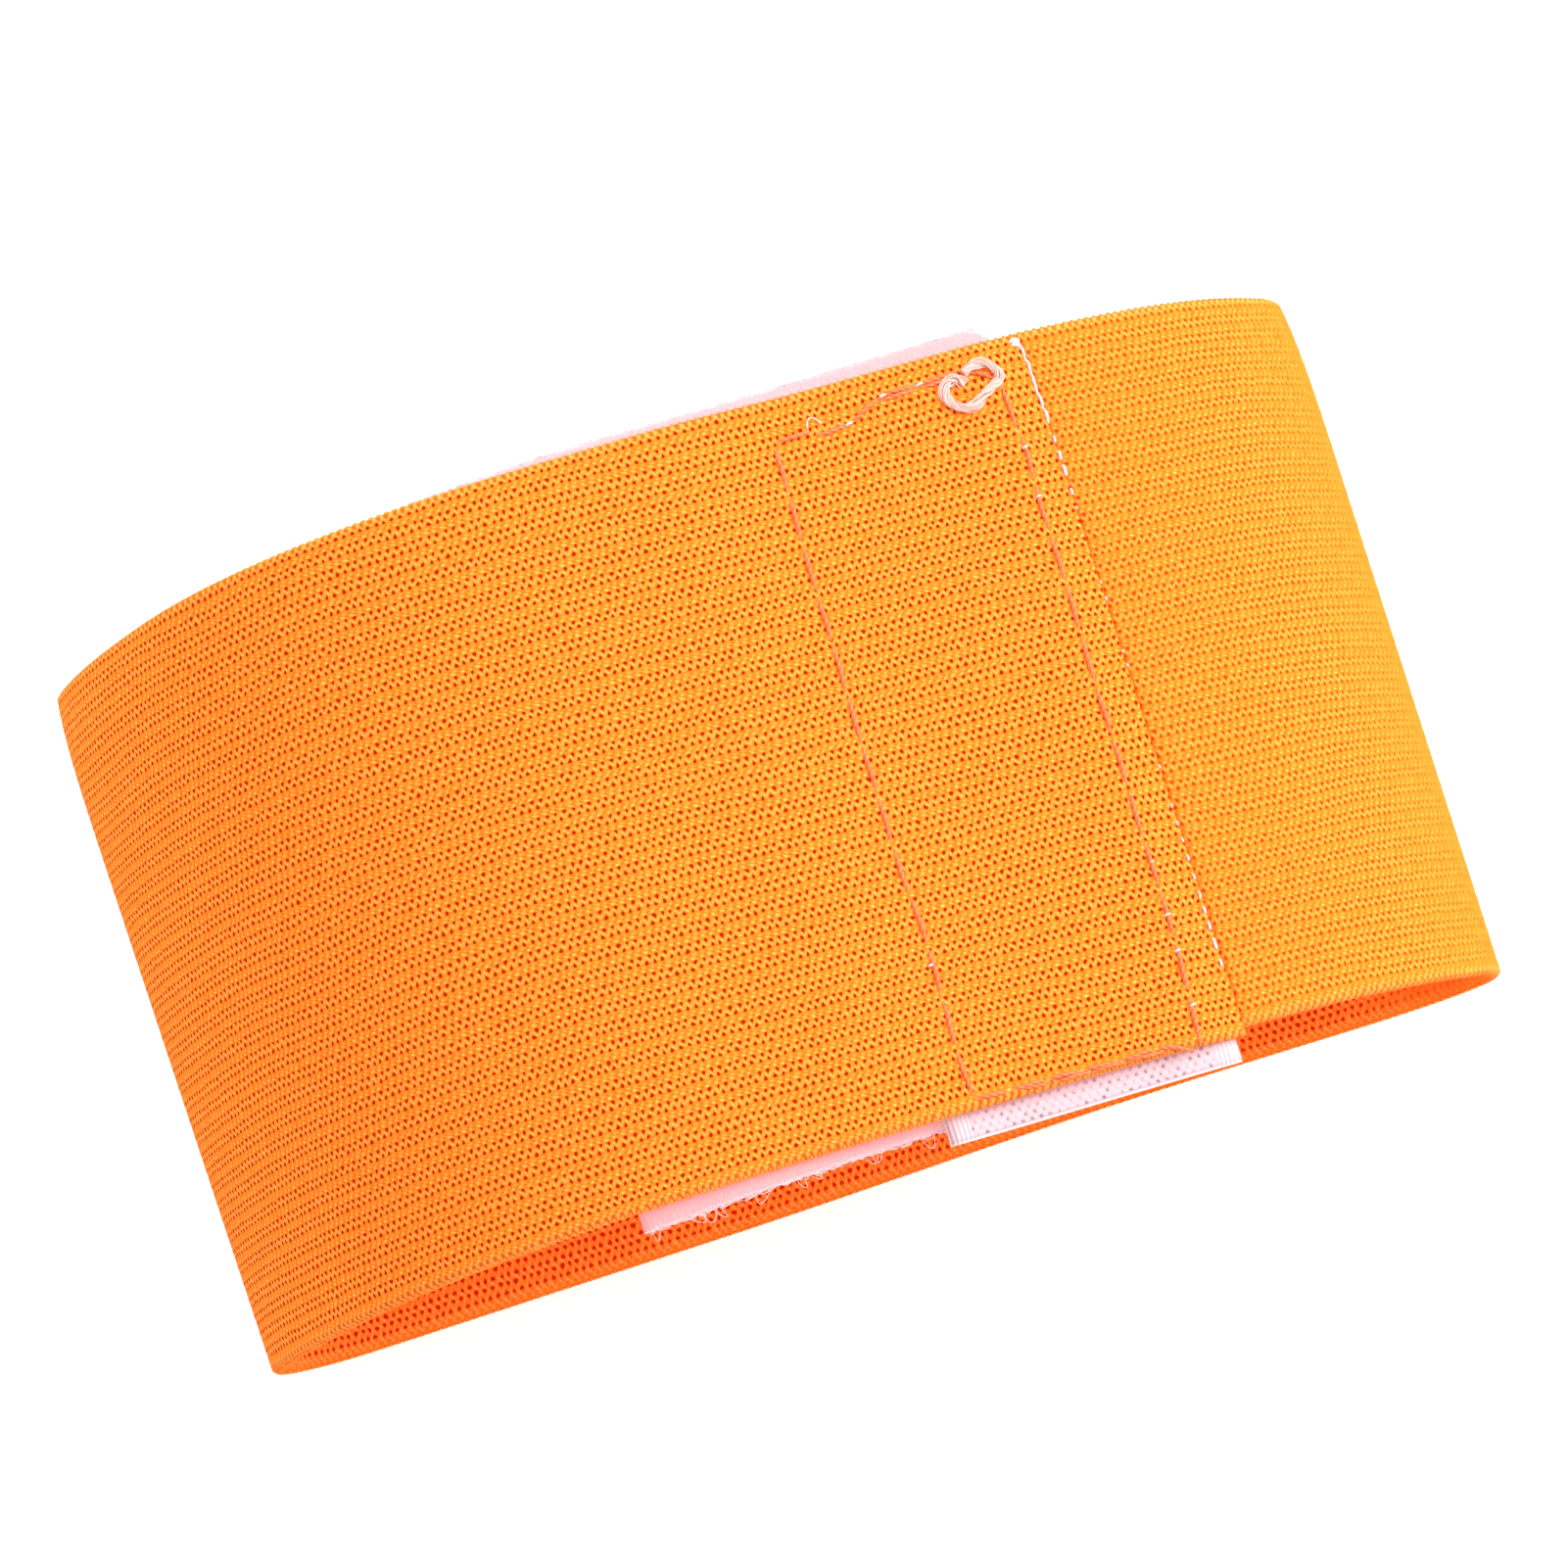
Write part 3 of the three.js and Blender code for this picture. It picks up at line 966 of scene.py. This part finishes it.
# millimetres from the outer end, and across the band, along each side of the seam
left_seam = [(22.6, 26.2), (22.8, 22.1), (23.1, 12.6), (23.4, 0.4), (23.6, -10.7), (23.4, -13.9)]
left_seam += [(23.7, -22.9), (23.8, -25.6), (23.7, -29.2)]
upper_seam = [(22.6, 26.2), (19.6, 26.4), (19.3, 26.1), (16.1, 26.2), (14.9, 26.7), (12.7, 27.7)]
upper_seam += [(9.5, 27.8), (6.0, 27.9), (4.1, 27.1), (3.0, 26.2)]
lower_seam = [(23.7, -29.2), (20.1, -29.25), (16.9, -29.3), (13.8, -29.4), (10.8, -29.4), (7.3, -29.4)]
lower_seam += [(5.0, -30.2)]
right_seam = [(3.0, 26.2), (3.0, 22.3), (2.8, 20.5), (3.0, 16.3), (3.1, 9.0), (3.3, 1.3), (3.5, -13.0)]
right_seam += [(3.6, -19.2), (3.7, -22.2), (3.9, -25.6), (4.3, -30.0)]
upper_again = [(13.2, 27.25), (11.0, 27.5), (8.0, 27.55), (6.2, 27.6)]
lower_again = [(20.1, -29.45), (13.8, -29.65), (7.3, -29.65)]


def over_end(distance, lift, across):
    """Points on the outer layer: distance from the outer end, height above the cloth, place across."""
    at = outer_end + distance
    return on_strip(at, strip_height(at) + lift, laid_across(at, across))


def seam(route, stitch, radius):
    """A row of stitches along a route: the thread's height is a half sine over each stitch, lowered so
    that it sinks into the cloth between two. It swells by the same half sine, and wanders sideways."""
    rows = through(np.array(route, dtype=float) * mm, 12)
    reach = reached(rows)
    even = np.linspace(0, reach[-1], max(8, int(reach[-1] / seam_step)))
    distance, across = (np.interp(even, reach, rows[:, i]) for i in (0, 1))
    stitches = max(1, round(reach[-1] / stitch))
    share = even / reach[-1] * stitches
    arched = np.abs(np.sin(math.pi * share))
    lift = radius * (stitch_rise * arched - stitch_sink)
    wander = seam_wander * np.sin(share * 5.1 + 1.3) * np.sin(math.pi * share)
    width = radius * (0.8 + 0.25 * arched)
    paths = over_end(distance + wander, lift, across + wander)[None]
    return cords(paths, outward(outer_end + distance)[None], width[None], sides=6)


def thread_paint(dark, pale):
    """Two-ply sewing thread: plies wind round it, the dark colour in their grooves as painted shade and
    the pale one on their backs.
    """

    def fill(shader):
        along, turn = kept_marks()[:2]
        # painted shade in the plies' grooves
        plies = (along * 1.6 + turn * 2).wave() * 0.5 + 0.5
        uneven = Wire.cloud(Wire.place(), 1500.0)
        feed(
            shader,
            Base_Color=Wire.mix(plies * 0.6 + uneven * 0.4, dark, pale),
            Roughness=0.6,
            Specular_IOR_Level=0.3,
            Normal=raised(plies, 0.05 * mm),
        )

    return fill


salmon_thread = material("salmon_thread", thread_paint((0.78, 0.11, 0.03), (0.97, 0.27, 0.09)))
salmon_seam = piece(
    "salmon_seam",
    "orange_thread",
    salmon_thread,
    seam(left_seam, seam_stitch_down, salmon_radius),
    seam(upper_seam, seam_stitch_along, salmon_radius),
    seam(lower_seam, seam_stitch_along, salmon_radius),
    seam(right_seam, seam_stitch_down, salmon_radius),
    seam(upper_again, seam_stitch_along, salmon_radius),
    seam(lower_again, seam_stitch_along, 0.8 * salmon_radius),
)

white_thread = material("white_thread", thread_paint((0.72, 0.52, 0.57), (0.95, 0.82, 0.86)))
knot_height = 0.2 * mm
knot_radius = 0.12 * mm
knot_slant = 0.3
thread_bedding = 0.02 * mm

# where white under thread shows: millimetres from the outer end, across the band, and how long
drawn_up = [(16.1, 26.2, 0.5), (12.7, 27.7, 0.45), (9.5, 27.8, 0.5), (2.8, 20.5, 0.35)]
drawn_up += [(3.0, 16.3, 0.3), (3.5, -14.8, 0.25), (3.6, -19.2, 0.4), (3.7, -22.2, 0.35)]
drawn_up += [(3.9, -26.7, 0.4), (23.7, -18.0, 0.25)]


def knot(distance, across, length):
    """A short arch of thread between two needle holes, slanting across the band: its place is the
    cosine and its height the sine of a half turn."""
    turn = np.linspace(0, math.pi, 9)
    reach = length * mm / 2 * np.cos(turn)
    lift = knot_height * np.sin(turn) - thread_bedding
    paths = over_end(distance * mm + reach, lift, across * mm - knot_slant * reach)[None]
    return cords(paths, outward(np.full((1, 9), outer_end)), knot_radius, sides=6)


knots = [knot(*row) for row in drawn_up]
under_knots = piece("under_thread_knots", "white_thread", white_thread, *knots)


# The end stitching: white thread over the cut outer end, unbroken near the upper rim and below that only
# short dashes where it comes up between the stitches of the knit.
end_line = 0.03 * mm
end_slant = 0.012 * mm
end_stitch = 1.6 * mm
end_radius = 0.13 * mm
lock_stitch = 1.0 * mm
upper_lock_radius = 0.24 * mm
lower_lock_radius = 0.2 * mm
dash_height = 0.12 * mm
dash_radius = 0.08 * mm

# millimetres from the outer end, and across the band: the unbroken run, and two short seams that lock it
end_run = [(0.1, 29.2), (0.1, 28.6), (0.02, 26.5), (0.08, 24.6), (0.0, 22.0)]
upper_lock = [(0.8, 29.25), (0.4, 29.35), (0.05, 29.2)]
lower_lock = [(0.8, 28.95), (0.4, 29.0), (0.05, 28.9)]
# across the band in millimetres, and length of the dash
end_dashes = [(20.6, 0.45), (19.2, 0.65), (17.9, 0.8), (16.1, 0.4), (14.7, 0.15), (8.3, 0.15)]
end_dashes += [(6.9, 0.2), (2.4, 0.15), (1.2, 0.15), (-7.4, 0.2), (-10.7, 0.25), (-12.2, 0.25)]
end_dashes += [(-13.6, 0.25), (-15.1, 0.35), (-16.7, 0.35), (-18.2, 0.4), (-19.5, 0.5), (-20.8, 0.6)]
end_dashes += [(-22.3, 0.8), (-23.9, 0.5)]


def dash(across, length):
    """One short arch of thread along the end, as a knot's but lower and thinner where it is short."""
    turn = np.linspace(0, math.pi, 9)
    reach = length * mm / 2 * np.cos(turn)
    at = end_line + end_slant * max(0, -across)
    lift = dash_height * np.sin(turn) * min(1, length / 0.4) - thread_bedding
    paths = over_end(at, lift, across * mm + reach)[None]
    radius = dash_radius * (1 + min(1, length))
    return cords(paths, outward(np.full((1, 9), outer_end)), radius, sides=6)


end_stitching = piece(
    "end_stitching",
    "white_thread",
    white_thread,
    seam(end_run, end_stitch, end_radius),
    seam(upper_lock, lock_stitch, upper_lock_radius),
    seam(lower_lock, lock_stitch, lower_lock_radius),
    *[dash(*row) for row in end_dashes],
)


# The thread end: the salmon seam's white under thread runs out at the upper corner in a frayed curl that
# lies on the cloth. It has come apart into soft fibres, and two finer ones stand up beside the upper side.
curl_route = [(6.0, 26.7), (6.5, 27.4), (7.5, 27.2), (7.9, 26.3), (7.6, 25.5), (6.9, 25.0), (5.7, 24.9)]
curl_route += [(4.7, 25.5), (3.8, 26.0), (3.0, 26.5), (3.1, 27.2), (3.7, 27.9), (4.6, 28.1), (5.8, 27.7)]
curl_fibres = 36
curl_radius = 0.5 * mm
curl_lift = 0.3 * mm
curl_fibre = 0.055 * mm
wisp_route = [(19.5, 26.6), (19.3, 27.4), (18.7, 27.4), (18.3, 26.8)]
wisp_fibres = 2
wisp_radius = 0.08 * mm
wisp_lift = 0.1 * mm
wisp_fibre = 0.04 * mm
least_lift = 0.05 * mm


def fibres(route, count, radius, lift, thickness):
    """Loose fibres along a route: each winds slowly round it at its own distance from the middle, which
    swells and shrinks with a sine of its own."""
    rows = through(np.array(route, dtype=float) * mm, 10)
    share = np.linspace(0, 1, len(rows))[None, :]
    apart, swell_start, swells, start, winds = chance.uniform(0, 1, (5, count, 1))
    swelling = 0.8 + 0.35 * np.sin(2 * math.pi * (swell_start + share * (2 + 3 * swells)))
    out = radius * (0.25 + 0.75 * apart) * swelling
    turn = 2 * math.pi * (start + share * (1.5 + winds))
    ahead = np.gradient(rows, axis=0)
    ahead /= np.linalg.norm(ahead, axis=1, keepdims=True)
    distance = rows[None, :, 0] + out * np.cos(turn) * ahead[None, :, 1]
    across = rows[None, :, 1] - out * np.cos(turn) * ahead[None, :, 0]
    height = np.maximum(lift + 0.6 * out * np.sin(turn), least_lift)
    paths = over_end(distance, height, across)
    return cords(paths, outward(outer_end + distance), thickness, sides=4)


def fluff_paint(shader):
    """Loose fibres: the paler ones are denser, the rest let the cloth's orange through."""
    paleness = Wire.chance(kept_marks()[2]).rise(0.0, 0.7)
    colour = Wire.mix(paleness, (1.0, 0.5, 0.38), (1.0, 0.84, 0.77))
    alpha = 0.3 + paleness * 0.4
    feed(shader, Base_Color=colour, Roughness=0.8, Specular_IOR_Level=0.2, Alpha=alpha)


fluff = material("frayed_thread", fluff_paint)
thread_curl = piece(
    "thread_curl",
    "white_thread",
    fluff,
    fibres(curl_route, curl_fibres, curl_radius, curl_lift, curl_fibre),
    fibres(wisp_route, wisp_fibres, wisp_radius, wisp_lift, wisp_fibre),
)
